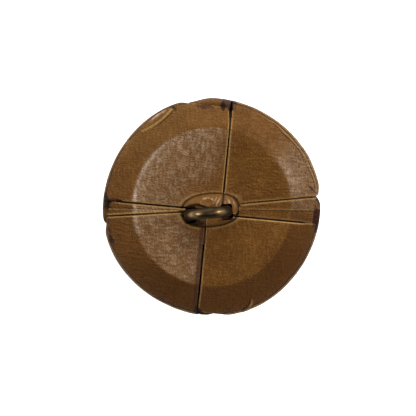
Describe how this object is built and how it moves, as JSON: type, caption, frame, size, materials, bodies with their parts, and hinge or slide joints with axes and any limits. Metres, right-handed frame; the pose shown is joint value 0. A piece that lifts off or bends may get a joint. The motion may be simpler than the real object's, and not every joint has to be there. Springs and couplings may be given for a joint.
{
  "type": "woven leather shank button",
  "caption": "Round button of plaited leather strips over a moulded core, with a small metal wire loop on its back for sewing it on.",
  "frame": {"origin": "under the middle of the rim, on the plane that the flat middle of the domed front touches", "axes": "+Z from the front to the back, the way the wire loop stands out; +X along the loop's straight bar"},
  "size_m": [0.038, 0.038, 0.0166],
  "materials": {
    "leather": "semi-gloss tan brown hide with a fine linen-like emboss, worn at the edges",
    "raw_leather": "matt reddish-brown flesh side",
    "fibreboard": "matt brown leatherboard",
    "core_fibre": "matt pressed fibre",
    "felt": "grey wool felt",
    "brass": "aged, darkened brass with a soft polish"
  },
  "bodies": {
    "button": {"strip_upper": "leather", "strip_right": "leather", "strip_lower": "leather", "strip_left": "leather", "loop_tab": "raw_leather", "backing_disc": "fibreboard", "core_dome": "core_fibre", "front_pad": "felt"},
    "loop": {"shank_loop": "brass"}
  },
  "joints": [
    {"name": "loop_tilt", "type": "hinge", "parent": "button", "child": "loop", "pos_m": [-0.0007, -0.00102, 0.008], "axis": [1, 0, 0], "range_deg": [-10, 10]}
  ]
}
